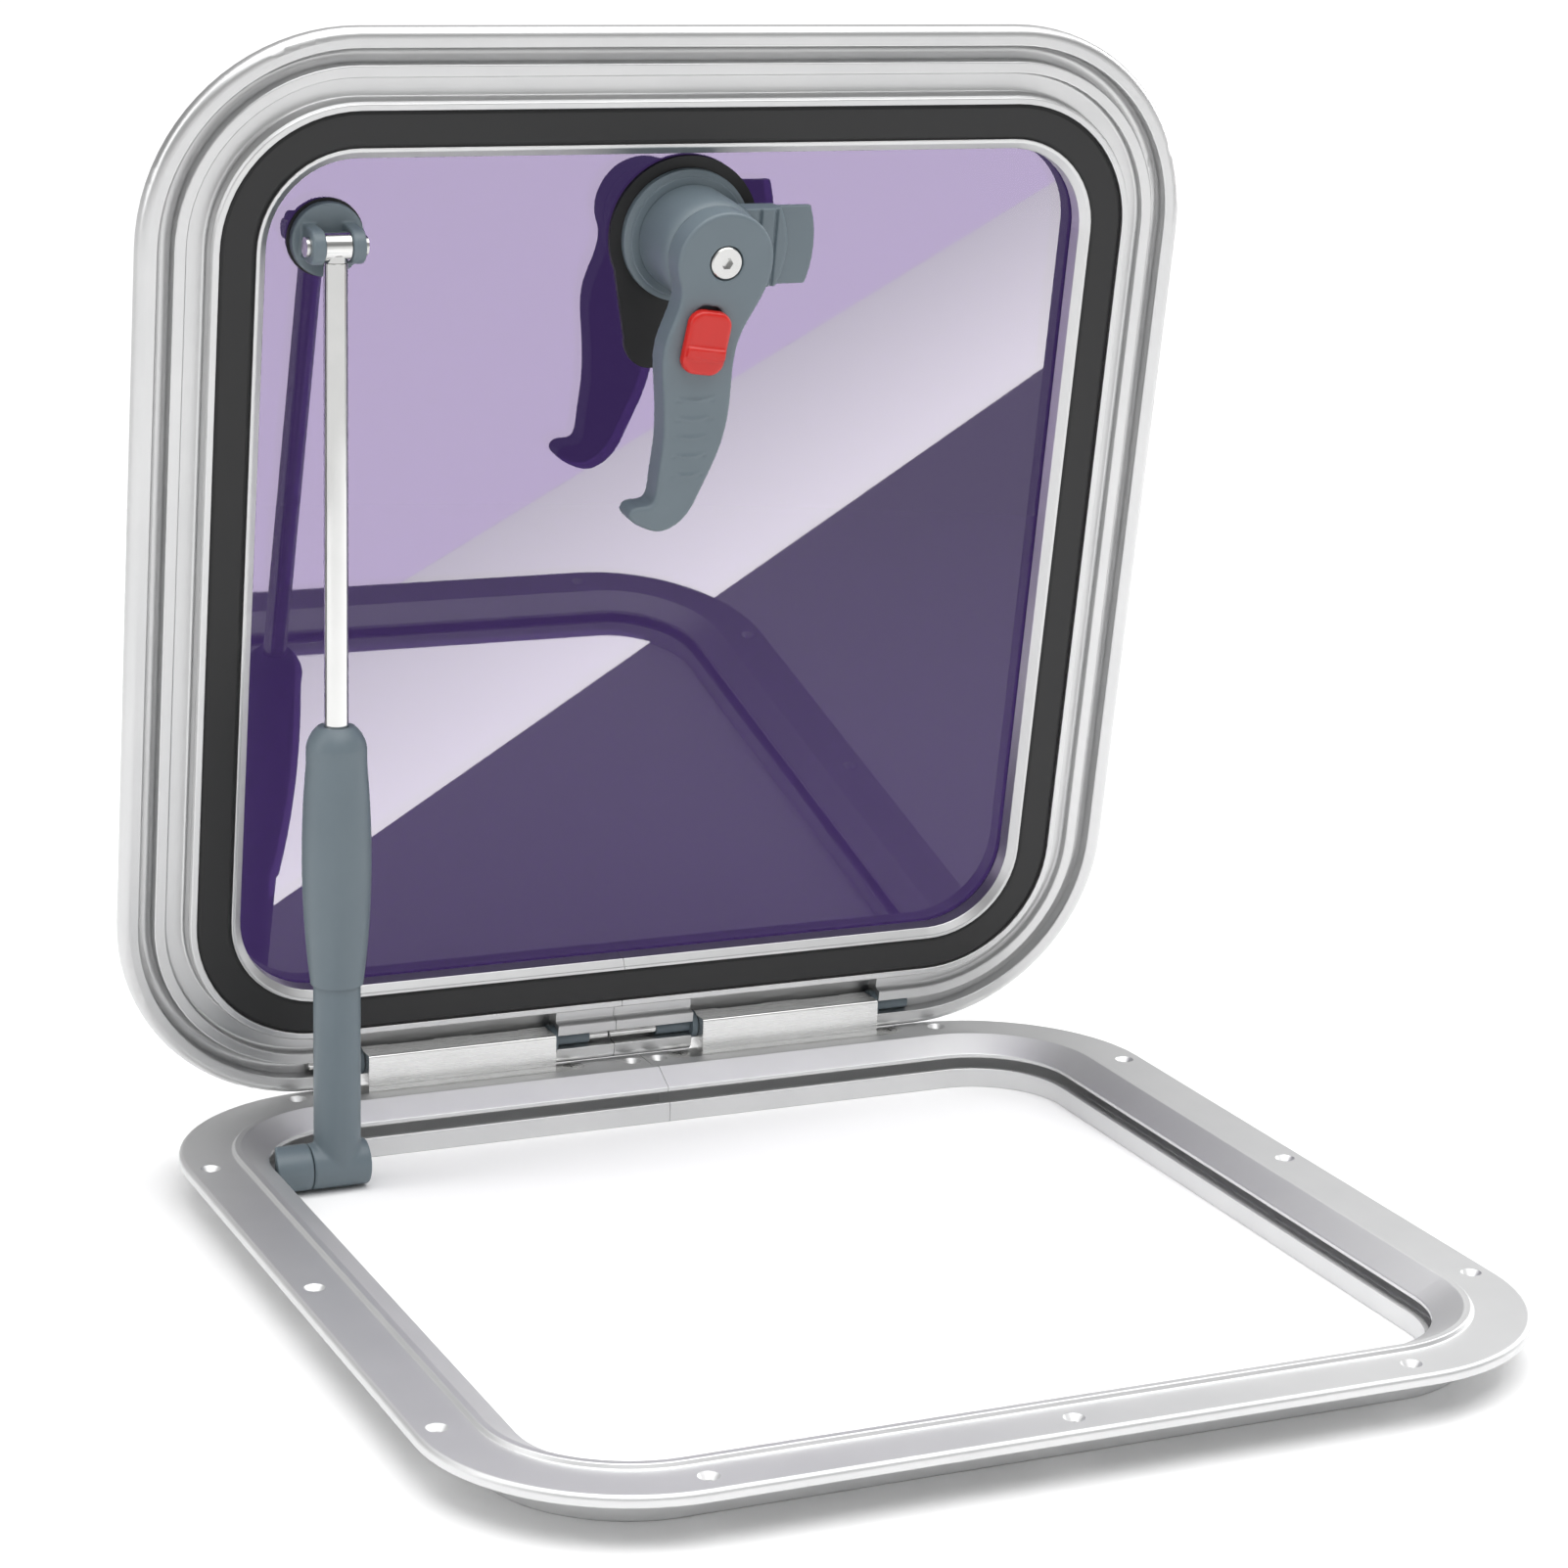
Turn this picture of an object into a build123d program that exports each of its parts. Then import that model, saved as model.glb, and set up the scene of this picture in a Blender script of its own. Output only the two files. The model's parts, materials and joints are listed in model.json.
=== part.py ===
from build123d import *
from math import atan2, cos, degrees, hypot, radians, sin
import os

os.makedirs("parts", exist_ok=True)

# Deck hatch. Millimetres. Origin at the centre of the deck opening, on the deck surface,
# +Z up, +Y towards the hinge. The lid stands open, the way it is held by its strut.

# ---- overall sizes ----
lid_width = 520.0
lid_corner = 98.0
lid_overhang = 11.0
flange_width = 25.5
coaming_band = 18.8
coaming_depth = 17.0
open_angle = 81.5

lid_half = lid_width / 2
base_half = lid_half - lid_overhang
base_corner = lid_corner - 10.0  # the two corners share nearly the same centre
spigot_half = base_half - flange_width
wall_half = spigot_half - coaming_band

# ---- base frame section ----
flange_thickness = 5.0
flange_edge_round = 2.2
crest_half = spigot_half - 0.2
crest_top = 6.9
crest_width = 3.0
lip_half = wall_half + 2.5
lip_top = -0.2
lip_bottom = -2.3
slot_bottom = -7.2
slot_half = spigot_half - 3.5
web_thickness = 2.5
seam_gap = 0.4
seam_depth = 0.5
base_seam_x = 9.5

# ---- deck screw holes ----
deck_hole_radius = 2.3
deck_head_radius = 4.6
side_hole_inset = 10.6
front_hole_inset = 13.0
back_hole_inset = 11.0
hole_pitch_inset = 103.0
side_hole_half = base_half - side_hole_inset
side_hole_pitch = lid_half - hole_pitch_inset
front_hole_y = -(base_half - front_hole_inset)
front_hole_pitch = lid_half - hole_pitch_inset
back_hole_y = base_half - back_hole_inset
back_hole_half_pitch = 7.0

# ---- lid section, heights counted up from the rim that comes closest to the base ----
rim_height = 6.5
gasket_outer_half = crest_half + 1.5
gasket_inner_half = gasket_outer_half - 16.8
gasket_depth = 7.5
gasket_face = 0.9
lid_lip_half = gasket_inner_half - 5.0
lid_lip_set_back = 3.2
rim_half = gasket_outer_half + 3.9
channel_floor = 10.0
ridge_inner_half = lid_half - 21.8
ridge_tip = 5.6
glass_ledge = 11.5
glass_pocket_half = gasket_outer_half + 3.2
lid_thickness = 22.0
outer_lip_round = 4.6

# ---- hinge ----
hinge_pin_y = lid_half - 12.5
hinge_pin_z = 18.0
pin_radius = 2.5
pin_bore_clearance = 0.05
pin_meeting_x = -7.3
bush_radius = 3.6
bush_groove_clearance = 0.05
bush_collar_radius = 7.0
bush_collar_thickness = 3.0
bush_length = 18.0
collar_gap = 0.3
block_inner_x = 39.5
block_outer_x = lid_half - lid_corner - 4.2 - bush_length - bush_collar_thickness - collar_gap
block_centre_x = (block_inner_x + block_outer_x) / 2
block_length = block_outer_x - block_inner_x
pin_length = block_outer_x + 19.5
block_front_y = lid_half - 25.0
block_top = 23.4
block_back_radius = 6.5
block_foot_half_width = 6.5
block_edge_round = 1.2
block_back_chamfer = 3.0
block_line_height = 3.2
block_line_size = 0.8
block_step_length = 24.0
block_step_offset = 22.0
block_step_width = 2.4
block_step_depth = 1.2
block_foot_thickness = 2.5
foot_pocket_clearance = 0.1
block_screw_offset = block_length / 2 + 10.0
block_screw_y = base_half - 8.4
block_screw_radius = 2.0
block_screw_head_radius = 4.0
pocket_front_y = block_front_y - 4.0
pocket_roof = 18.7

# ---- glass ----
glass_half = glass_pocket_half - 2.0
glass_thickness = 8.0
sealant_bed = 1.5

# ---- strut ----
strut_x = -(wall_half - 31.7)
strut_foot_y = wall_half - 32.7
strut_foot_z = -5.5
strut_top_y = -(lid_half - 95.0)
strut_top_height = -3.0
barrel_radius = 11.0
barrel_length = 28.0
barrel_end_wall = 4.0
axle_radius = 4.0
running_clearance = 0.05
tube_radius = 11.0
tube_bore_radius = 7.5
rod_radius = 5.5
grip_length = 104.5
grip_cap_length = 18.0
grip_bottom_radius = 12.2
grip_top_radius = 14.0
grip_belly_radius = 16.0
tube_bore_start = 45.0
piston_length = 9.0
collet_length = 22.0
eye_radius = 6.5
eye_side_gap = 0.4
clevis_radius = 17.0
clevis_base_thickness = 5.0
clevis_ear_thickness = 6.0
clevis_gap = 12.6
clevis_ear_half_width = 8.0
clevis_screw_radius = 2.5
clevis_screw_head_radius = 4.5
clevis_screw_head_height = 2.0
clevis_seal_thickness = 0.8
clevis_hole_radius = 3.0
clevis_bolt_radius = 2.5
clevis_bolt_head_radius = 6.0
clevis_bolt_head_height = 2.4
clevis_cap_radius = 14.0
clevis_cap_height = 4.0
rod_set_back = 7.0

# ---- handle ----
seal_thickness = 2.5
seal_radius = 37.0
seal_lobe_radius = 14.0
seal_lobe_reach = 50.0
seal_lobe_side = -12.0
handle_ring_radius = 31.5
handle_ring_thickness = 5.5
handle_gap = 0.3
handle_barrel_radius = 25.0
lever_start = -27.0
lever_thickness = 14.0
lever_head_radius = 23.5
tongue_reach = 56.0
tongue_end_gap = 1.0
tongue_root_reach = 39.0
tongue_width = 37.0
tongue_nose_top = -9.2
tongue_nose_bottom = -12.4
tongue_root_top = -6.0
tongue_root_bottom = -17.0
spindle_radius = 5.0
spindle_clearance = 0.03
spindle_head_radius = 8.5
spindle_head_height = 2.6
spindle_head_gap = 0.3
lever_screw_radius = 7.5
lever_screw_depth = 4.0
lever_recess_radius = 8.0
rib_pitch = 9.0
glass_hole_radius = 6.5
cap_radius = 20.0
cap_thickness = 5.0
button_travel = 6.0
button_length = 30.0
button_width = 21.0
button_proud = 5.0
button_stem_width = 12.0
button_stem_length = 20.0
button_stem_depth = 5.0
button_gap = 0.3

# ---- places that follow from the sizes ----
handle_y = -(slot_half - tongue_reach - tongue_end_gap)
back_corner_hole_x = block_outer_x + 35.5
hinge_place = Location((0, hinge_pin_y, hinge_pin_z))
lid_swing = hinge_place * Location((0, 0, 0), (-open_angle, 0, 0)) * Location((0, -hinge_pin_y, -hinge_pin_z))
glass_inside = glass_ledge + sealant_bed
glass_outside = glass_inside + glass_thickness


def lid_level(height):
    """Plane of the open lid, a height above its rim; its x runs along the hinge, its y to the hinge."""
    return Plane(lid_swing * Location((0, 0, rim_height + height)))


def lid_side(x):
    """Plane across the hinge axis in the open lid; its x runs to the hinge, its y is the height."""
    level = lid_level(0)
    return Plane(origin=level.origin + Vector(x, 0, 0), x_dir=level.y_dir, z_dir=level.x_dir)


def turned(plane, x, y, angle=0.0):
    """The same plane moved to (x, y) in itself and turned about its normal."""
    return Plane(plane.location * Location((x, y, 0), (0, 0, angle)))


def section_ring(corners, half, corner_radius, level, seam_x, notch=True):
    """Bends a section, given as (distance from centre, height, rounding), round a rounded square.

    The two ends of the bent length meet on the hinge side, where a fine line is left.
    """
    straight = half - corner_radius
    with BuildLine(level) as bend:
        Line((0, half), (straight, half))
        CenterArc((straight, straight), corner_radius, 90, -90)
        Line((half, straight), (half, -straight))
        CenterArc((straight, -straight), corner_radius, 0, -90)
        Line((straight, -half), (0, -half))
    across = Plane(origin=level.origin, x_dir=level.y_dir, z_dir=level.x_dir)
    with BuildSketch(across) as section:
        with BuildLine():
            Polyline(*[(c[0], c[1]) for c in corners], close=True)
        make_face()
        for c in corners:
            if c[2] > 0:
                fillet(section.vertices().sort_by_distance((c[0], c[1], 0))[0], c[2])
    sweep(sections=section.sketch, path=bend.wires()[0])
    mirror(about=Plane.YZ)
    if notch:
        with BuildSketch(across.offset(seam_x - seam_gap / 2)) as line_left:
            add(section.sketch_local)
            offset(amount=-seam_depth, mode=Mode.SUBTRACT)
        extrude(line_left.sketch, amount=seam_gap, mode=Mode.SUBTRACT)


def round_square(half, corner_radius, mode=Mode.ADD):
    """Rounded square in the sketch being built."""
    RectangleRounded(2 * half, 2 * half, corner_radius, mode=mode)


def corner_at(half):
    """Base corner radius that keeps the same centre at another distance from the middle."""
    return base_corner - (base_half - half)


def lid_corner_at(half):
    """Lid corner radius that keeps the same centre at another distance from the middle."""
    return lid_corner - (lid_half - half)


def face_on(piece, level):
    """The largest flat face of a piece that lies in a plane."""
    flats = [
        face
        for face in piece.faces().filter_by(GeomType.PLANE)
        if abs((face.center() - level.origin).dot(level.z_dir)) < 0.01
        and abs(face.normal_at().dot(level.z_dir)) > 0.99
    ]
    return max(flats, key=lambda face: face.area)


def save(piece, name):
    piece.part.label = name
    export_step(piece.part, "parts/" + name + ".step")


# ================= base =================

side_holes = [(sx * side_hole_half, sy * side_hole_pitch) for sx in (-1, 1) for sy in (-1, 0, 1)]
front_holes = [(n * front_hole_pitch, front_hole_y) for n in (-1, 0, 1)]
back_holes = [(base_seam_x + n * back_hole_half_pitch, back_hole_y) for n in (-1, 1)]
back_corner_holes = [(n * back_corner_hole_x, back_hole_y) for n in (-1, 1)]
deck_holes = side_holes + front_holes + back_holes + back_corner_holes
block_screws = [
    (side * block_centre_x + end * block_screw_offset, block_screw_y) for side in (-1, 1) for end in (-1, 1)
]
stub_screw_y = strut_foot_y - 8.0
stub_screw_z = strut_foot_z - 4.5
stub_screw_radius = 1.6
stub_screw_head_radius = 2.4
stub_screw_seat = 0.4
stub_screw_head_height = 1.6
stub_screw_grip = 8.0
stub_screw_hole_radius = 2.0
axle_grip = 8.0

with BuildPart() as base_frame:
    # one bent aluminium extrusion: flange, sealing crest, inner lip, trim slot and coaming wall
    section_ring(
        [
            (base_half, 0, 0.8),
            (base_half, flange_thickness, flange_edge_round),
            (crest_half + 1.2, flange_thickness, 0.8),
            (crest_half, crest_top, 0.8),
            (crest_half - crest_width, crest_top, 1.5),
            (lip_half, lip_top, 0.7),
            (lip_half, lip_bottom, 0.6),
            (slot_half, lip_bottom, 0.8),
            (slot_half, web_thickness - coaming_depth, 0.8),
            (wall_half + web_thickness, web_thickness - coaming_depth, 0.8),
            (wall_half + web_thickness, slot_bottom, 0.5),
            (wall_half, slot_bottom, 0.5),
            (wall_half, -coaming_depth, 0.6),
            (spigot_half, -coaming_depth, 0.8),
            (spigot_half, 0, 0),
        ],
        base_half,
        base_corner,
        Plane.XY,
        base_seam_x,
    )
    # countersunk deck screw holes
    with Locations(*[(x, y, flange_thickness) for x, y in deck_holes]):
        CounterSinkHole(deck_hole_radius, deck_head_radius, depth=2 * flange_thickness)
    # pockets for the feet of the hinge blocks
    pocket_height = 2 * (block_foot_half_width + foot_pocket_clearance)
    with BuildSketch(Plane.XY.offset(flange_thickness)):
        for side in (-1, 1):
            with Locations((side * block_centre_x, block_screw_y)):
                SlotCenterToCenter(2 * block_screw_offset, pocket_height)
    extrude(amount=-block_foot_thickness, mode=Mode.SUBTRACT)
    # tapped holes for the hinge block screws
    with Locations(*[(x, y, flange_thickness) for x, y in block_screws]):
        Hole(block_screw_radius, depth=3 * flange_thickness)
    # clearance hole for the stub screw
    with BuildSketch(Plane.YZ.offset(-wall_half - 2 * web_thickness)):
        with Locations((stub_screw_y, stub_screw_z)):
            Circle(stub_screw_hole_radius)
    extrude(amount=3 * web_thickness, mode=Mode.SUBTRACT)
save(base_frame, "base_frame")


def hinge_block(side):
    """Extruded aluminium block with the pin bore, standing on a foot let into the flange."""
    left = side * block_centre_x - block_length / 2
    with BuildPart() as block:
        with BuildSketch(Plane.YZ.offset(left)) as profile:
            with BuildLine():
                back_y = hinge_pin_y + block_back_radius
                top_y = hinge_pin_y + (block_back_radius**2 - (block_top - hinge_pin_z) ** 2) ** 0.5
                Line((block_front_y, flange_thickness), (block_front_y, block_top))
                Line((block_front_y, block_top), (top_y, block_top))
                turn = degrees(atan2(block_top - hinge_pin_z, top_y - hinge_pin_y))
                CenterArc((hinge_pin_y, hinge_pin_z), block_back_radius, turn, -turn)
                chamfer_top = flange_thickness + block_back_chamfer
                Line((back_y, hinge_pin_z), (back_y, chamfer_top))
                Line((back_y, chamfer_top), (back_y - block_back_chamfer, flange_thickness))
                Line((back_y - block_back_chamfer, flange_thickness), (block_front_y, flange_thickness))
            make_face()
            fillet(profile.vertices().sort_by_distance((block_front_y, block_top, 0))[0], block_edge_round)
        extrude(amount=block_length)
        with BuildSketch(Plane.XY.offset(flange_thickness)):
            with Locations((side * block_centre_x, block_screw_y)):
                SlotCenterToCenter(2 * block_screw_offset, 2 * block_foot_half_width)
        extrude(amount=-block_foot_thickness)
        # shallow drip line along the front face
        with BuildSketch(Plane.YZ.offset(left)):
            with Locations((block_front_y, flange_thickness + block_line_height)):
                Rectangle(block_line_size, block_line_size)
        extrude(amount=block_length, mode=Mode.SUBTRACT)
        # two shallow steps milled along the back of the top face
        for n in (-1, 1):
            with Locations((side * block_centre_x + n * block_step_offset, top_y, block_top)):
                Box(block_step_length, block_step_width, block_step_depth, mode=Mode.SUBTRACT)
        with BuildSketch(Plane.YZ.offset(left)):
            with Locations((hinge_pin_y, hinge_pin_z)):
                Circle(pin_radius + pin_bore_clearance)
        extrude(amount=block_length, mode=Mode.SUBTRACT)
        with Locations(*[(x, y, flange_thickness) for x, y in block_screws if x * side > 0]):
            CounterSinkHole(block_screw_radius, block_screw_head_radius, depth=block_foot_thickness)
    return block


left_hinge_block = hinge_block(-1)
save(left_hinge_block, "left_hinge_block")
right_hinge_block = hinge_block(1)
save(right_hinge_block, "right_hinge_block")

with BuildPart() as hinge_block_screws:
    # four countersunk screws, one at each end of each foot
    head_height = block_screw_head_radius - block_screw_radius
    screw_end = 0.2
    cross_length = 4.2
    cross_width = 0.9
    cross_depth = 1.6
    for x, y in block_screws:
        with BuildSketch(Plane.XZ.offset(-y)):
            with BuildLine():
                Polyline(
                    (x, flange_thickness),
                    (x + block_screw_head_radius, flange_thickness),
                    (x + block_screw_radius, flange_thickness - head_height),
                    (x + block_screw_radius, screw_end),
                    (x, screw_end),
                    close=True,
                )
            make_face()
        revolve(axis=Axis((x, y, 0), (0, 0, 1)))
        with Locations((x, y, flange_thickness)):
            Box(cross_length, cross_width, cross_depth, mode=Mode.SUBTRACT)
            Box(cross_width, cross_length, cross_depth, mode=Mode.SUBTRACT)
save(hinge_block_screws, "hinge_block_screws")

stub_end_x = strut_x - barrel_length / 2 - collar_gap
with BuildPart() as strut_stub:
    # moulded stub that stands on the inside of the coaming wall and carries the axle
    with BuildSketch(Plane.YZ.offset(-wall_half)):
        with Locations((strut_foot_y, strut_foot_z)):
            Circle(barrel_radius)
    extrude(amount=wall_half + stub_end_x)
    with BuildSketch(Plane.YZ.offset(-wall_half)):
        with Locations((strut_foot_y, strut_foot_z)):
            Circle(axle_radius)
    extrude(amount=wall_half + stub_end_x, mode=Mode.SUBTRACT)
    with BuildSketch(Plane.YZ.offset(-wall_half)):
        with Locations((stub_screw_y, stub_screw_z)):
            Circle(stub_screw_radius)
    extrude(amount=stub_screw_grip + 1.0, mode=Mode.SUBTRACT)
    fillet(strut_stub.edges().filter_by(GeomType.CIRCLE).group_by(Axis.X)[-1].sort_by(SortBy.RADIUS)[-1], 0.8)
    with BuildSketch(Plane.XY.offset(-2 * coaming_depth)):
        round_square(wall_half, corner_at(wall_half))
    extrude(amount=4 * coaming_depth, mode=Mode.INTERSECT)
save(strut_stub, "strut_stub")

axle_inner_x = strut_x + barrel_length / 2 - barrel_end_wall - 0.5
with BuildPart() as strut_axle:
    # stainless axle pressed into the stub
    with BuildSketch(Plane.YZ.offset(stub_end_x - axle_grip)):
        with Locations((strut_foot_y, strut_foot_z)):
            Circle(axle_radius)
    extrude(amount=axle_inner_x - stub_end_x + axle_grip)
    chamfer(strut_axle.edges().group_by(Axis.X)[-1], 0.6)
save(strut_axle, "strut_axle")

with BuildPart() as stub_screw:
    # screw through the coaming wall into the stub, its head in the trim slot
    head_x = -wall_half - web_thickness - stub_screw_seat
    with BuildSketch(Plane.YZ.offset(head_x - stub_screw_head_height)):
        with Locations((stub_screw_y, stub_screw_z)):
            Circle(stub_screw_head_radius)
    extrude(amount=stub_screw_head_height)
    with BuildSketch(Plane.YZ.offset(head_x)):
        with Locations((stub_screw_y, stub_screw_z)):
            Circle(stub_screw_radius)
    extrude(amount=web_thickness + stub_screw_seat + stub_screw_grip)
save(stub_screw, "stub_screw")

# ================= lid =================

slot_centre = hinge_pin_z - rim_height
groove_radius = bush_radius + bush_groove_clearance
groove_inner = hinge_pin_y - groove_radius
groove_outer = hinge_pin_y + groove_radius
lid_flat = lid_level(0)
collar_room = block_length / 2 + collar_gap + bush_collar_thickness
clevis_places = (strut_x, strut_top_y)

with BuildPart() as lid_frame:
    # one bent aluminium extrusion: inner lip, gasket groove, rim, channel, ridge, pin groove, outer lip
    section_ring(
        [
            (lid_lip_half, lid_lip_set_back, 0.6),
            (lid_lip_half + 3.4, 0.4, 1.2),
            (gasket_inner_half, 0.3, 0.4),
            (gasket_inner_half, gasket_depth, 0.4),
            (gasket_outer_half, gasket_depth, 0.4),
            (gasket_outer_half, 0, 0.5),
            (rim_half - 1.0, 0, 0.8),
            (rim_half, 1.8, 0.8),
            (rim_half, channel_floor, 1.5),
            (ridge_inner_half, channel_floor, 1.5),
            (ridge_inner_half, ridge_tip, 0.8),
            (groove_inner, ridge_tip, 0.8),
            (groove_inner, slot_centre + groove_radius, groove_radius - 0.01),
            (groove_outer, slot_centre + groove_radius, groove_radius - 0.01),
            (groove_outer, ridge_tip, 0.8),
            (lid_half, ridge_tip, outer_lip_round),
            (lid_half, 14.0, 5.0),
            (lid_half - 7.0, lid_thickness, 6.0),
            (glass_pocket_half, lid_thickness, 0.8),
            (glass_pocket_half, glass_ledge, 0),
            (lid_lip_half, glass_ledge, 0.6),
        ],
        lid_half,
        lid_corner,
        lid_flat,
        -5.5,
    )
    # ridge, groove and outer lip are milled away where the hinge blocks and collars sit
    with BuildSketch(lid_level(-2.0)):
        for side in (-1, 1):
            with Locations((side * block_centre_x, (pocket_front_y + lid_half + 2.0) / 2)):
                Rectangle(2 * collar_room, lid_half + 2.0 - pocket_front_y)
    extrude(amount=pocket_roof + 2.0, mode=Mode.SUBTRACT)
save(lid_frame, "lid_frame")

with BuildPart() as lid_gasket:
    # soft seal filling the gasket groove, its face just short of the base crest when shut
    section_ring(
        [
            (gasket_inner_half, gasket_depth, 0.4),
            (gasket_inner_half, gasket_face + 1.0, 0),
            (gasket_inner_half + 2.0, gasket_face, 0),
            (gasket_outer_half - 2.0, gasket_face, 0),
            (gasket_outer_half, gasket_face + 1.0, 0),
            (gasket_outer_half, gasket_depth, 0.4),
        ],
        gasket_outer_half,
        lid_corner_at(gasket_outer_half),
        lid_flat,
        0,
        notch=False,
    )
save(lid_gasket, "lid_gasket")

with BuildPart() as glass_pane:
    # tinted toughened glass with holes for the handle spindle and the clevis bolt
    with BuildSketch(lid_level(glass_inside)):
        round_square(glass_half, lid_corner_at(glass_half))
        with Locations((0, handle_y)):
            Circle(glass_hole_radius, mode=Mode.SUBTRACT)
        with Locations(clevis_places):
            Circle(clevis_hole_radius, mode=Mode.SUBTRACT)
    extrude(amount=glass_thickness)
save(glass_pane, "glass_pane")

with BuildPart() as glass_sealant:
    # bed under the glass and bead round its edge
    with BuildSketch(lid_level(glass_ledge)):
        round_square(glass_pocket_half, lid_corner_at(glass_pocket_half))
        round_square(lid_lip_half + 1.0, lid_corner_at(lid_lip_half + 1.0), Mode.SUBTRACT)
    extrude(amount=sealant_bed)
    with BuildSketch(lid_level(glass_inside)):
        round_square(glass_pocket_half, lid_corner_at(glass_pocket_half))
        round_square(glass_half, lid_corner_at(glass_half), Mode.SUBTRACT)
    extrude(amount=glass_thickness)
save(glass_sealant, "glass_sealant")


def hinge_pin(start_x, end_x):
    """Stainless pin along the hinge axis."""
    with BuildPart() as pin:
        with BuildSketch(Plane.YZ.offset(start_x)):
            with Locations((hinge_pin_y, hinge_pin_z)):
                Circle(pin_radius)
        extrude(amount=end_x - start_x)
        chamfer(pin.edges().filter_by(GeomType.CIRCLE), 0.5)
    return pin


left_hinge_pin = hinge_pin(pin_meeting_x - 0.4 - pin_length, pin_meeting_x - 0.4)
save(left_hinge_pin, "left_hinge_pin")
right_hinge_pin = hinge_pin(pin_meeting_x, pin_meeting_x + pin_length)
save(right_hinge_pin, "right_hinge_pin")

with BuildPart() as hinge_bushes:
    # four plastic bushes: a collar beside the block and a tube lying in the pin groove
    for side in (-1, 1):
        for end in (-1, 1):
            inner_x = side * block_centre_x + end * (block_length / 2 + collar_gap)
            with BuildSketch(Plane.YZ.offset(inner_x)):
                with Locations((hinge_pin_y, hinge_pin_z)):
                    Circle(bush_collar_radius)
                    Circle(pin_radius, mode=Mode.SUBTRACT)
            extrude(amount=end * bush_collar_thickness)
            with BuildSketch(Plane.YZ.offset(inner_x)):
                with Locations((hinge_pin_y, hinge_pin_z)):
                    Circle(bush_radius)
                    Circle(pin_radius, mode=Mode.SUBTRACT)
            extrude(amount=end * (bush_collar_thickness + bush_length))
save(hinge_bushes, "hinge_bushes")

clevis_face = glass_inside - clevis_seal_thickness
with BuildPart() as clevis_seal:
    # thin soft washer between glass and clevis
    with BuildSketch(turned(lid_level(clevis_face), strut_x, strut_top_y)):
        Circle(clevis_radius + 1.0)
        Circle(clevis_hole_radius, mode=Mode.SUBTRACT)
    extrude(amount=glass_inside - clevis_face)
save(clevis_seal, "clevis_seal")

ear_outside = clevis_gap / 2 + clevis_ear_thickness
with BuildPart() as strut_clevis:
    # moulded fork that stands on the glass and takes the end of the rod
    with BuildSketch(turned(lid_level(clevis_face), strut_x, strut_top_y)):
        Circle(clevis_radius)
    extrude(amount=-clevis_base_thickness)
    for start in (strut_x - ear_outside, strut_x + clevis_gap / 2):
        with BuildSketch(lid_side(start)):
            with Locations((strut_top_y, strut_top_height)):
                Circle(clevis_ear_half_width)
            ear_height = clevis_face - strut_top_height - 1.0
            with Locations((strut_top_y, strut_top_height + ear_height / 2)):
                Rectangle(2 * clevis_ear_half_width, ear_height)
            with Locations((strut_top_y, strut_top_height)):
                Circle(clevis_screw_radius, mode=Mode.SUBTRACT)
        extrude(amount=clevis_ear_thickness)
    with BuildSketch(turned(lid_level(clevis_face), strut_x, strut_top_y)):
        Circle(clevis_bolt_radius)
    extrude(amount=-clevis_base_thickness, mode=Mode.SUBTRACT)
save(strut_clevis, "strut_clevis")

with BuildPart() as clevis_screws:
    # two short shoulder screws, one in each ear, that end flush with the inside of the ears
    for end in (-1, 1):
        for radius, start, length in (
            (clevis_screw_radius, clevis_gap / 2, clevis_ear_thickness),
            (clevis_screw_head_radius, ear_outside, clevis_screw_head_height),
        ):
            with BuildSketch(lid_side(strut_x + end * start)):
                with Locations((strut_top_y, strut_top_height)):
                    Circle(radius)
            extrude(amount=end * length)
save(clevis_screws, "clevis_screws")

with BuildPart() as clevis_bolt:
    # bolt from outside through the glass into the foot of the clevis
    with BuildSketch(turned(lid_level(glass_outside), strut_x, strut_top_y)):
        Circle(clevis_bolt_head_radius)
    extrude(amount=clevis_bolt_head_height)
    with BuildSketch(turned(lid_level(clevis_face - clevis_base_thickness), strut_x, strut_top_y)):
        Circle(clevis_bolt_radius)
    extrude(amount=glass_outside - clevis_face + clevis_base_thickness)
save(clevis_bolt, "clevis_bolt")

with BuildPart() as clevis_cap:
    # round cap over the bolt head on the outside of the glass
    with BuildSketch(turned(lid_level(glass_outside), strut_x, strut_top_y)):
        Circle(clevis_cap_radius)
    extrude(amount=clevis_cap_height)
    with BuildSketch(turned(lid_level(glass_outside), strut_x, strut_top_y)):
        Circle(clevis_bolt_head_radius)
    extrude(amount=clevis_bolt_head_height, mode=Mode.SUBTRACT)
    fillet(face_on(clevis_cap, lid_level(glass_outside + clevis_cap_height)).edges(), 1.4)
save(clevis_cap, "clevis_cap")

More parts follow.
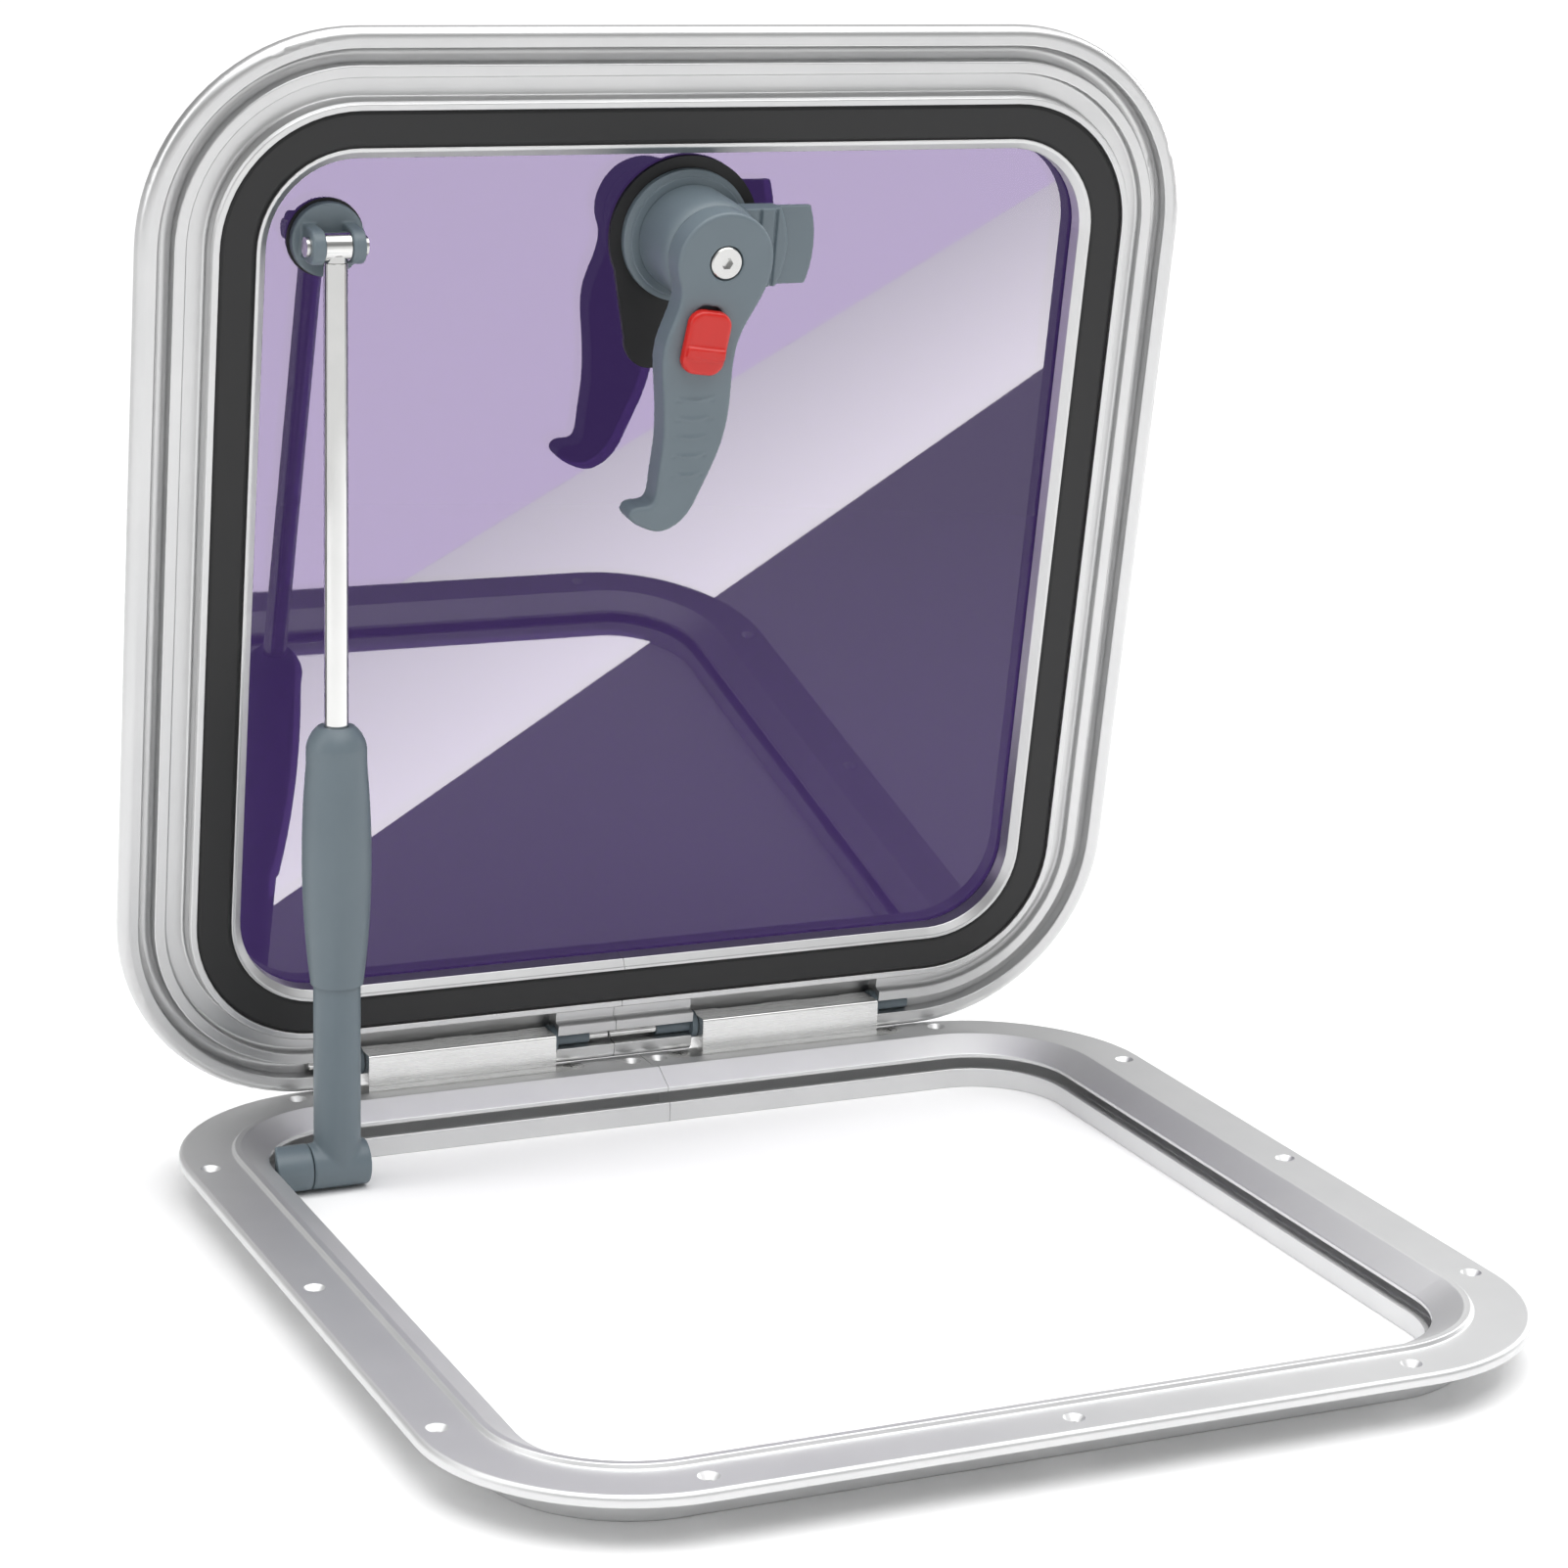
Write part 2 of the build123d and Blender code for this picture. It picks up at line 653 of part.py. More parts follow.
seal_face = glass_inside - seal_thickness
ring_face = seal_face - handle_ring_thickness
with BuildPart() as handle_seal:
    # soft teardrop seal between glass and handle
    with BuildSketch(turned(lid_level(seal_face), 0, handle_y)):
        Circle(seal_radius)
        with BuildLine():
            reach = hypot(seal_lobe_side, seal_lobe_reach)
            side_turn = degrees(atan2(seal_lobe_reach, seal_lobe_side))
            edge_left = side_turn + 78.0
            edge_right = side_turn - 78.0
            Polyline(
                (seal_radius * cos(radians(edge_left)), seal_radius * sin(radians(edge_left))),
                (
                    seal_lobe_side + seal_lobe_radius * cos(radians(edge_left)),
                    seal_lobe_reach + seal_lobe_radius * sin(radians(edge_left)),
                ),
                (
                    seal_lobe_side + seal_lobe_radius * cos(radians(edge_right)),
                    seal_lobe_reach + seal_lobe_radius * sin(radians(edge_right)),
                ),
                (seal_radius * cos(radians(edge_right)), seal_radius * sin(radians(edge_right))),
                close=True,
            )
        make_face()
        with Locations((seal_lobe_side, seal_lobe_reach)):
            Circle(seal_lobe_radius)
        Circle(glass_hole_radius, mode=Mode.SUBTRACT)
    extrude(amount=seal_thickness)
save(handle_seal, "handle_seal")

with BuildPart() as handle_ring:
    # fixed flange ring that the handle turns against
    with BuildSketch(turned(lid_level(seal_face), 0, handle_y)):
        Circle(handle_ring_radius)
        Circle(glass_hole_radius, mode=Mode.SUBTRACT)
    extrude(amount=-handle_ring_thickness)
    fillet(face_on(handle_ring, lid_level(ring_face)).outer_wire().edges(), 1.6)
save(handle_ring, "handle_ring")

with BuildPart() as outer_cap:
    # round outside cap over the end of the spindle
    with BuildSketch(turned(lid_level(glass_outside), 0, handle_y)):
        Circle(cap_radius)
    extrude(amount=cap_thickness)
    with BuildSketch(turned(lid_level(glass_outside), 0, handle_y)):
        Circle(spindle_head_radius + 1.0)
    extrude(amount=cap_thickness - 1.4, mode=Mode.SUBTRACT)
    fillet(face_on(outer_cap, lid_level(glass_outside + cap_thickness)).edges(), 1.6)
save(outer_cap, "outer_cap")

# ================= handle =================

barrel_top = ring_face - handle_gap
lever_end = lever_start - lever_thickness
with BuildPart() as handle_barrel:
    # round hub under the lever
    with BuildSketch(turned(lid_level(barrel_top), 0, handle_y)):
        Circle(handle_barrel_radius)
        Circle(spindle_radius + spindle_clearance, mode=Mode.SUBTRACT)
    extrude(amount=lever_start - barrel_top)
save(handle_barrel, "handle_barrel")

with BuildPart() as latch_tongue:
    # tongue that swings into the slot under the front lip; thick root, thin nose
    for reach, top, bottom in (
        (tongue_root_reach, tongue_root_top, tongue_root_bottom),
        (tongue_reach, tongue_nose_top, tongue_nose_bottom),
    ):
        with BuildSketch(turned(lid_level(top), 0, handle_y)):
            Circle(reach)
            with Locations((tongue_reach / 2, 0)):
                Rectangle(tongue_reach, tongue_width, mode=Mode.INTERSECT)
            Circle(handle_barrel_radius, mode=Mode.SUBTRACT)
        extrude(amount=bottom - top)
save(latch_tongue, "latch_tongue")

lever_outline = [
    (9.5, 36.0),
    (7.5, 58.0),
    (6.5, 77.0),
    (3.0, 91.0),
    (-3.5, 107.0),
    (-11.0, 121.0),
    (-21.0, 127.0),
    (-32.0, 124.5),
    (-38.5, 118.0),
    (-37.0, 115.6),
    (-28.5, 114.0),
    (-25.6, 104.0),
    (-24.5, 88.0),
    (-26.0, 61.0),
    (-27.0, 38.0),
]
button_x = -8.5
button_reach = 36.0
button_turn = 8.0


def button_plane(height):
    """Plane of the lock button, its y along the button's travel."""
    return turned(lid_level(height), button_x, handle_y + button_reach, button_turn)


with BuildPart() as handle_lever:
    # moulded lever with a hooked end, a slot for the lock button and five shallow finger ribs
    with BuildSketch(turned(lid_level(lever_start), 0, handle_y)):
        with BuildLine():
            head = [
                (lever_head_radius * cos(radians(turn)), lever_head_radius * sin(radians(turn)))
                for turn in (-200, -160, -125, -90, -55, -20, 20)
            ]
            Spline(*head, *lever_outline, periodic=True)
        make_face()
    extrude(amount=-lever_thickness)
    fillet(face_on(handle_lever, lid_level(lever_end)).edges(), 1.6)
    with BuildSketch(button_plane(lever_end)):
        with Locations((0, -button_travel / 2)):
            RectangleRounded(
                button_stem_width + 2 * button_gap,
                button_stem_length + button_travel + 2 * button_gap,
                4.0,
            )
    extrude(amount=button_stem_depth + 1.0, mode=Mode.SUBTRACT)
    for n in range(5):
        rib_y = handle_y + 64.0 + rib_pitch * n
        with Locations(turned(lid_level(lever_end), -10.0 - 0.4 * n, rib_y).location):
            Box(20.0 - n, 1.6, 1.2, mode=Mode.SUBTRACT)
    with BuildSketch(turned(lid_level(lever_start), 0, handle_y)):
        Circle(spindle_radius + spindle_clearance)
    extrude(amount=-lever_thickness, mode=Mode.SUBTRACT)
    with BuildSketch(turned(lid_level(lever_end), 0, handle_y)):
        Circle(lever_recess_radius)
    extrude(amount=lever_screw_depth, mode=Mode.SUBTRACT)
save(handle_lever, "handle_lever")

with BuildPart() as handle_spindle:
    # steel spindle from the lever through the glass, with a retaining head under the outside cap
    spindle_start = lever_end + lever_screw_depth
    spindle_head = glass_outside + spindle_head_gap
    with BuildSketch(turned(lid_level(spindle_start), 0, handle_y)):
        Circle(spindle_radius)
    extrude(amount=spindle_head - spindle_start)
    with BuildSketch(turned(lid_level(spindle_head), 0, handle_y)):
        Circle(spindle_head_radius)
    extrude(amount=spindle_head_height)
save(handle_spindle, "handle_spindle")

with BuildPart() as lever_screw:
    # socket screw that holds the lever on the spindle
    with BuildSketch(turned(lid_level(lever_end), 0, handle_y)):
        Circle(lever_screw_radius)
    extrude(amount=lever_screw_depth)
    chamfer(face_on(lever_screw, lid_level(lever_end)).edges(), 0.5)
    with BuildSketch(turned(lid_level(lever_end), 0, handle_y)):
        RegularPolygon(2.9, 6)
    extrude(amount=2.6, mode=Mode.SUBTRACT)
save(lever_screw, "lever_screw")

with BuildPart() as lock_button:
    # red slide button; its stem runs in the slot of the lever
    button_level = lever_end - 0.3
    with BuildSketch(button_plane(button_level)):
        RectangleRounded(button_width, button_length, 7.0)
    extrude(amount=-button_proud)
    fillet(face_on(lock_button, lid_level(button_level - button_proud)).edges(), 2.0)
    with BuildSketch(button_plane(button_level)):
        RectangleRounded(button_stem_width, button_stem_length, 4.0)
    extrude(amount=button_stem_depth)
save(lock_button, "lock_button")

# ================= strut =================

top_point = lid_swing * Location((strut_x, strut_top_y, rim_height + strut_top_height))
top_y = top_point.position.Y
top_z = top_point.position.Z
strut_length = hypot(top_y - strut_foot_y, top_z - strut_foot_z)
strut_lean = degrees(atan2(top_y - strut_foot_y, top_z - strut_foot_z))
strut_foot = Location((strut_x, strut_foot_y, strut_foot_z), (-strut_lean, 0, 0))

# when shut the strut is at its shortest, and the piston then stops just above the floor of the tube
shut_length = hypot(strut_top_y - strut_foot_y, rim_height + strut_top_height - strut_foot_z)
rod_start = tube_bore_start + piston_length + 3.8 + strut_length - shut_length
tube_top = rod_start + collet_length + 15.0
grip_end = tube_top + 6.0
grip_start = grip_end - grip_length


def strut_level(distance):
    """Plane square to the strut, a distance up from its foot pivot."""
    return Plane(strut_foot * Location((0, 0, distance)))


with BuildPart() as strut_tube:
    # lower tube moulded with the cross barrel that turns on the axle
    with BuildSketch(Plane.YZ.offset(strut_x - barrel_length / 2)):
        with Locations((strut_foot_y, strut_foot_z)):
            Circle(barrel_radius)
    extrude(amount=barrel_length)
    fillet(strut_tube.edges().filter_by(GeomType.CIRCLE), 0.8)
    with BuildSketch(strut_level(0)):
        Circle(tube_radius)
    extrude(amount=tube_top)
    with BuildSketch(strut_level(tube_bore_start)):
        Circle(tube_bore_radius)
    extrude(amount=tube_top, mode=Mode.SUBTRACT)
    with BuildSketch(Plane.YZ.offset(strut_x - barrel_length / 2)):
        with Locations((strut_foot_y, strut_foot_z)):
            Circle(axle_radius + running_clearance)
    extrude(amount=barrel_length - barrel_end_wall, mode=Mode.SUBTRACT)
save(strut_tube, "strut_tube")

with BuildPart() as strut_collet:
    # split collet at the mouth of the tube, which the grip tightens on the rod
    with BuildSketch(strut_level(tube_top - collet_length)):
        Circle(tube_bore_radius)
        Circle(rod_radius + running_clearance, mode=Mode.SUBTRACT)
    extrude(amount=collet_length)
    with BuildSketch(strut_level(tube_top - 14.0)):
        Rectangle(1.2, 2.4 * tube_bore_radius)
        Rectangle(2.4 * tube_bore_radius, 1.2)
    extrude(amount=14.0, mode=Mode.SUBTRACT)
save(strut_collet, "strut_collet")

grip_bore = tube_radius + 0.3
with BuildPart() as strut_grip:
    # twist grip over the tube, slim at the bottom, fullest at its middle
    with BuildSketch(Plane(strut_foot * Location((0, 0, 0), (90, 0, 0)))):
        with BuildLine():
            Line((grip_bore, grip_start), (grip_bottom_radius, grip_start))
            Spline(
                (grip_bottom_radius, grip_start),
                (grip_belly_radius - 0.8, grip_start + 32.0),
                (grip_belly_radius, grip_start + 60.0),
                (grip_top_radius, grip_end),
            )
            Line((grip_top_radius, grip_end), (grip_bore, grip_end))
            Line((grip_bore, grip_end), (grip_bore, grip_start))
        make_face()
    revolve(axis=Axis(strut_level(0).origin, strut_level(0).z_dir))
save(strut_grip, "strut_grip")

cap_end = grip_end + grip_cap_length
with BuildPart() as grip_cap:
    # domed cap at the top of the grip, open for the rod
    with BuildSketch(Plane(strut_foot * Location((0, 0, 0), (90, 0, 0)))):
        with BuildLine():
            Line((rod_radius + 0.3, grip_end), (grip_top_radius, grip_end))
            Line((grip_top_radius, grip_end), (grip_top_radius, grip_end + 0.45 * grip_cap_length))
            Spline(
                (grip_top_radius, grip_end + 0.45 * grip_cap_length),
                (grip_top_radius - 2.6, grip_end + 0.82 * grip_cap_length),
                (rod_radius + 3.0, cap_end),
            )
            Line((rod_radius + 3.0, cap_end), (rod_radius + 0.3, cap_end))
            Line((rod_radius + 0.3, cap_end), (rod_radius + 0.3, grip_end))
        make_face()
    revolve(axis=Axis(strut_level(0).origin, strut_level(0).z_dir))
save(grip_cap, "grip_cap")

with BuildPart() as strut_rod:
    # bright stainless rod
    with BuildSketch(strut_level(rod_start)):
        Circle(rod_radius)
    extrude(amount=strut_length - rod_start - rod_set_back)
    chamfer(strut_rod.edges().filter_by(GeomType.CIRCLE), 0.6)
save(strut_rod, "strut_rod")

with BuildPart() as rod_piston:
    # stop on the lower end of the rod, sliding in the tube
    with BuildSketch(strut_level(rod_start - piston_length)):
        Circle(tube_bore_radius - running_clearance)
    extrude(amount=piston_length)
save(rod_piston, "rod_piston")

with BuildPart() as rod_eye:
    # end piece of the rod that sits between the clevis ears
    with BuildSketch(Plane.YZ.offset(strut_x - clevis_gap / 2 + eye_side_gap)):
        with Locations((top_y, top_z)):
            Circle(eye_radius)
            Circle(clevis_screw_radius + 0.1, mode=Mode.SUBTRACT)
    extrude(amount=clevis_gap - 2 * eye_side_gap)
    with BuildSketch(strut_level(strut_length - rod_set_back)):
        Circle(rod_radius)
    extrude(amount=3.0)
save(rod_eye, "rod_eye")
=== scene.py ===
import json
from math import cos, pi, radians, sin

import bmesh
import bpy
from mathutils import Matrix, Quaternion, Vector


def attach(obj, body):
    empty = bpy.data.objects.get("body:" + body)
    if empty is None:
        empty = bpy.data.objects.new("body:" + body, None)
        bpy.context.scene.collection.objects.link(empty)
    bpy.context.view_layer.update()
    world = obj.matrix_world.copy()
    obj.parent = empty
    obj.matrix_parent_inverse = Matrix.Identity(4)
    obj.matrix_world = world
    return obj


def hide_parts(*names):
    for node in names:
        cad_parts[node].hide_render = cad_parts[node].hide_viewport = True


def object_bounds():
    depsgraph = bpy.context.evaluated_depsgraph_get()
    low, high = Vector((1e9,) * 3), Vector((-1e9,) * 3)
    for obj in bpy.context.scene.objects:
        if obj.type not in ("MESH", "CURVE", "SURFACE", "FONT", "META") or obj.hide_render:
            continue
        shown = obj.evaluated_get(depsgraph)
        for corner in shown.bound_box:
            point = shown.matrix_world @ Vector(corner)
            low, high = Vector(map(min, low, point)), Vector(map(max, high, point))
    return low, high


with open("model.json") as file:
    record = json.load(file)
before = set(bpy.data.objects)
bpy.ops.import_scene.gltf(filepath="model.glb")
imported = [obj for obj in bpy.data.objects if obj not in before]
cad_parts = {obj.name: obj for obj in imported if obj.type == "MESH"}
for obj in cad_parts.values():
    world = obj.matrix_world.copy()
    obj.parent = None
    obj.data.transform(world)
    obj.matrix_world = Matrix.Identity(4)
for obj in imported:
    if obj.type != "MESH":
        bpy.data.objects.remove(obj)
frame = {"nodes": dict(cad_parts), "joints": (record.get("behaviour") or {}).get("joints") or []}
nodes = frame["nodes"]
scene = bpy.context.scene
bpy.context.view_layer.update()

# ---- camera ----
# A long lens a little above the deck, in front of the hatch and to its left.
camera = bpy.data.objects.new("camera", bpy.data.cameras.new("camera"))
scene.collection.objects.link(camera)
scene.camera = camera
camera.data.lens = 91.5
camera.data.sensor_width = 36.0
camera.data.clip_end = 30.0
camera.location = (-0.7171, -1.5212, 0.6340)
looking = Vector((0.4007, 0.8823, -0.2469))
camera.rotation_mode = "QUATERNION"
camera.rotation_quaternion = looking.to_track_quat("-Z", "Y") @ Quaternion((0, 0, 1), radians(1.54))

# ---- floor and light ----
# A pale floor under soft studio panels, with white all round.
scene.view_settings.view_transform = "Standard"
floor_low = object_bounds()[0][2]
floor_mesh = bpy.data.meshes.new("floor")
floor_radius = 1.9
floor_steps = 96
floor_turns = [2 * pi * n / floor_steps for n in range(floor_steps)]
ring = [(floor_radius * cos(t), floor_radius * sin(t), floor_low) for t in floor_turns]
floor_mesh.from_pydata(ring, [], [tuple(range(floor_steps))])
floor = bpy.data.objects.new("floor", floor_mesh)
scene.collection.objects.link(floor)
paper = bpy.data.materials.new("pale_paper")
paper.use_nodes = True
paper_shader = paper.node_tree.nodes["Principled BSDF"]
paper_shader.inputs["Roughness"].default_value = 0.9
paper_shader.inputs["Specular IOR Level"].default_value = 0.1
paper_grain = paper.node_tree.nodes.new("ShaderNodeTexNoise")
paper_grain.inputs["Scale"].default_value = 40.0
paper_tone = paper.node_tree.nodes.new("ShaderNodeMapRange")
paper_tone.inputs["To Min"].default_value = 0.93
paper_tone.inputs["To Max"].default_value = 0.95
paper.node_tree.links.new(paper_grain.outputs["Fac"], paper_tone.inputs["Value"])
paper.node_tree.links.new(paper_tone.outputs["Result"], paper_shader.inputs["Base Color"])
floor_mesh.materials.append(paper)

world = bpy.data.worlds.new("studio")
scene.world = world
world.use_nodes = True
air = world.node_tree
air_light = air.nodes["Background"]
air_place = air.nodes.new("ShaderNodeTexCoord")
air_parts = air.nodes.new("ShaderNodeSeparateXYZ")
air_tone = air.nodes.new("ShaderNodeValToRGB")
air_height = air.nodes.new("ShaderNodeMapRange")
air_height.inputs["From Min"].default_value = -1.0
air.links.new(air_place.outputs["Generated"], air_parts.inputs["Vector"])
air.links.new(air_parts.outputs["Z"], air_height.inputs["Value"])
air.links.new(air_height.outputs["Result"], air_tone.inputs["Fac"])
tones = air_tone.color_ramp
tones.elements[0].position = 0.49
tones.elements[0].color = (0.95, 0.95, 0.95, 1.0)
tones.elements[1].position = 1.0
tones.elements[1].color = (0.62, 0.62, 0.63, 1.0)
for place, tone in ((0.52, 0.70), (0.60, 0.34), (0.72, 0.30), (0.86, 0.80)):
    step = tones.elements.new(place)
    step.color = (tone, tone, tone, 1.0)
air_seen = air.nodes.new("ShaderNodeLightPath")
air_white = air.nodes.new("ShaderNodeBackground")
air_white.inputs["Strength"].default_value = 1.1
air_mix = air.nodes.new("ShaderNodeMixShader")
air.links.new(air_tone.outputs["Color"], air_light.inputs["Color"])
air_direct = air.nodes.new("ShaderNodeMath")
air_direct.operation = "MAXIMUM"
air.links.new(air_seen.outputs["Is Camera Ray"], air_direct.inputs[0])
air.links.new(air_seen.outputs["Is Transmission Ray"], air_direct.inputs[1])
air.links.new(air_direct.outputs["Value"], air_mix.inputs["Fac"])
air.links.new(air_light.outputs["Background"], air_mix.inputs[1])
air.links.new(air_white.outputs["Background"], air_mix.inputs[2])
air.links.new(air_mix.outputs["Shader"], air.nodes["World Output"].inputs["Surface"])
air_white.inputs["Color"].default_value = (1.0, 1.0, 1.0, 1.0)


def panel(name, place, towards, width, height, power):
    """A soft light panel that faces a point."""
    lamp = bpy.data.lights.new(name, "AREA")
    lamp.shape = "RECTANGLE"
    lamp.size = width
    lamp.size_y = height
    lamp.energy = power
    lit = bpy.data.objects.new(name, lamp)
    scene.collection.objects.link(lit)
    lit.location = place
    lit.rotation_mode = "QUATERNION"
    lit.rotation_quaternion = (Vector(towards) - Vector(place)).to_track_quat("-Z", "Y")
    lit.visible_camera = False
    return lit


panel("top_panel", (0.1, -0.2, 2.4), (0, 0, 0), 3.0, 3.0, 66)
panel("left_panel", (-2.2, 0.2, 1.3), (0, 0, 0.2), 0.8, 1.8, 11)
panel("right_panel", (2.4, 0.6, 1.2), (0, 0.2, 0.2), 0.7, 2.0, 26)

# ---- base frame ----
# One bar of extruded aluminium bent round and butted at the back, satin anodised. Fine
# draw lines follow the bar round its corners.
def shader_of(name):
    """A new material with its node list, links and main shader."""
    made = bpy.data.materials.new(name)
    made.use_nodes = True
    tree = made.node_tree
    return made, tree, tree.nodes["Principled BSDF"]


def maths(tree, operation, first, second=None):
    """One arithmetic step between sockets or numbers."""
    node = tree.nodes.new("ShaderNodeMath")
    node.operation = operation
    for place, value in enumerate((first, second)):
        if value is None:
            continue
        if isinstance(value, (int, float)):
            node.inputs[place].default_value = value
        else:
            tree.links.new(value, node.inputs[place])
    return node.outputs[0]


def spread(tree, source, low, high, start=0.0, end=1.0):
    """Maps a value onto another range."""
    node = tree.nodes.new("ShaderNodeMapRange")
    node.inputs["From Min"].default_value = start
    node.inputs["From Max"].default_value = end
    node.inputs["To Min"].default_value = low
    node.inputs["To Max"].default_value = high
    tree.links.new(source, node.inputs["Value"])
    return node.outputs["Result"]


def noise(tree, vector, scale, detail=3.0):
    """Cloudy pattern, a finer one for a larger scale."""
    node = tree.nodes.new("ShaderNodeTexNoise")
    node.inputs["Scale"].default_value = scale
    node.inputs["Detail"].default_value = detail
    tree.links.new(vector, node.inputs["Vector"])
    return node.outputs["Fac"]


def bump(tree, height, shader, strength, distance):
    """Fine relief that follows a pattern."""
    node = tree.nodes.new("ShaderNodeBump")
    node.inputs["Strength"].default_value = strength
    node.inputs["Distance"].default_value = distance
    tree.links.new(height, node.inputs["Height"])
    tree.links.new(node.outputs["Normal"], shader.inputs["Normal"])


def tinted(tree, factor, shader, low, high):
    """Base colour between two colours."""
    ramp = tree.nodes.new("ShaderNodeValToRGB")
    ramp.color_ramp.elements[0].color = (*low, 1.0)
    ramp.color_ramp.elements[1].color = (*high, 1.0)
    tree.links.new(factor, ramp.inputs["Fac"])
    tree.links.new(ramp.outputs["Color"], shader.inputs["Base Color"])


def bar_metal(name, straight, dull, tone, swing=0.0, pivot=(0, 0, 0)):
    """Satin aluminium whose draw lines run along a bar bent round a rounded square.

    Dull is its least roughness and tone its brightness; swing and pivot lay an opened lid flat.
    """
    made, tree, shader = shader_of(name)
    place = tree.nodes.new("ShaderNodeTexCoord").outputs["Object"]
    laid = tree.nodes.new("ShaderNodeMapping")
    back = Matrix.Rotation(swing, 3, "X")
    laid.inputs["Rotation"].default_value = (swing, 0, 0)
    laid.inputs["Location"].default_value = Vector(pivot) - back @ Vector(pivot)
    tree.links.new(place, laid.inputs["Vector"])
    parts = tree.nodes.new("ShaderNodeSeparateXYZ")
    tree.links.new(laid.outputs["Vector"], parts.inputs["Vector"])
    past = []
    for side in ("X", "Y"):
        out = maths(tree, "SUBTRACT", maths(tree, "ABSOLUTE", parts.outputs[side]), straight)
        past.append(maths(tree, "MAXIMUM", out, 0.0))
    squares = [maths(tree, "POWER", out, 2.0) for out in past]
    across = maths(tree, "SQRT", maths(tree, "ADD", squares[0], squares[1]))
    lines = tree.nodes.new("ShaderNodeCombineXYZ")
    tree.links.new(across, lines.inputs["X"])
    tree.links.new(parts.outputs["Z"], lines.inputs["Y"])
    drawn = noise(tree, lines.outputs["Vector"], 1400.0, 4.0)
    grain = noise(tree, place, 5200.0, 2.0)
    cloud = noise(tree, place, 26.0, 3.0)
    tinted(tree, cloud, shader, (0.90 * tone, 0.905 * tone, 0.91 * tone), (tone, tone, tone))
    shader.inputs["Metallic"].default_value = 1.0
    texture = maths(tree, "ADD", maths(tree, "MULTIPLY", drawn, 0.6), maths(tree, "MULTIPLY", grain, 0.4))
    tree.links.new(spread(tree, texture, dull, dull + 0.16), shader.inputs["Roughness"])
    bump(tree, texture, shader, 0.25, 0.00004)
    return made


def dress(node, made):
    """Gives a CAD node its material."""
    piece = nodes[node]
    piece.data.materials.clear()
    piece.data.materials.append(made)


bar_straight = 0.161  # half the straight stretch of one side, from its middle to the corner
base_metal = bar_metal("base_metal", bar_straight, 0.42, 0.77)
dress("base_frame", base_metal)

# ---- hinge blocks ----
# Two short lengths of extruded aluminium with drawn faces, each on a foot let into the flange
# and held by a countersunk stainless screw at both ends.
def drawn_metal(name, colour, low, high, stretch=(30.0, 2400.0, 2400.0)):
    """Metal with fine straight lines along one axis."""
    made, tree, shader = shader_of(name)
    place = tree.nodes.new("ShaderNodeTexCoord").outputs["Object"]
    laid = tree.nodes.new("ShaderNodeMapping")
    laid.inputs["Scale"].default_value = stretch
    tree.links.new(place, laid.inputs["Vector"])
    lines = noise(tree, laid.outputs["Vector"], 1.0, 3.0)
    cloud = noise(tree, place, 60.0)
    darker = tuple(0.88 * c for c in colour)
    tinted(tree, cloud, shader, darker, colour)
    shader.inputs["Metallic"].default_value = 1.0
    tree.links.new(spread(tree, lines, low, high), shader.inputs["Roughness"])
    bump(tree, lines, shader, 0.2, 0.00003)
    return made


block_metal = drawn_metal("block_metal", (0.80, 0.80, 0.79), 0.20, 0.36)
dress("left_hinge_block", block_metal)
dress("right_hinge_block", block_metal)
screw_steel = drawn_metal("screw_steel", (0.62, 0.62, 0.61), 0.16, 0.30, (900.0, 900.0, 900.0))
dress("hinge_block_screws", screw_steel)
dress("stub_screw", screw_steel)
dress("strut_axle", screw_steel)


# ---- strut stub ----
# Moulded blue-grey plastic, slightly textured by the mould.
def moulded(name, dark, light, low=0.34, high=0.5):
    """Injection-moulded plastic with a fine mould grain and faint flow marks."""
    made, tree, shader = shader_of(name)
    place = tree.nodes.new("ShaderNodeTexCoord").outputs["Object"]
    flow = noise(tree, place, 45.0, 4.0)
    grain = noise(tree, place, 2600.0, 3.0)
    tinted(tree, flow, shader, dark, light)
    tree.links.new(spread(tree, grain, low, high), shader.inputs["Roughness"])
    shader.inputs["Specular IOR Level"].default_value = 0.5
    bump(tree, grain, shader, 0.3, 0.00005)
    return made


grey = moulded("blue_grey_plastic", (0.118, 0.152, 0.175), (0.140, 0.178, 0.202))


def softened(name, body, made, used, grain, passes, shape=None):
    """A moulded piece: the shape of its CAD nodes with every edge and inner corner rounded over."""
    form = bmesh.new()
    for node in used:
        form.from_mesh(nodes[node].data)
    if shape:
        shape(form)
    mesh = bpy.data.meshes.new(name)
    form.to_mesh(mesh)
    form.free()
    mesh.materials.append(made)
    piece = bpy.data.objects.new(name, mesh)
    scene.collection.objects.link(piece)
    remesh = piece.modifiers.new("skin", "REMESH")
    remesh.mode = "VOXEL"
    remesh.voxel_size = grain
    remesh.use_smooth_shade = True
    smooth = piece.modifiers.new("soften", "SMOOTH")
    smooth.factor = 0.5
    smooth.iterations = passes
    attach(piece, body)
    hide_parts(*used)
    return piece


softened("moulded_stub", "base", grey, ["strut_stub"], 0.0005, 4)

# ---- lid frame ----
# The same kind of bent aluminium bar, larger, with the gasket groove, the pin groove and the
# rounded outer lip; butted at the back beside the hinge.
hinge = [joint for joint in frame["joints"] if joint["name"] == "lid_hinge"][0]
pivot = Vector(hinge["pos_m"])
open_turn = radians(-hinge["range_deg"][0])
lid_metal = bar_metal("lid_metal", 0.162, 0.28, 0.64, open_turn, pivot)
dress("lid_frame", lid_metal)


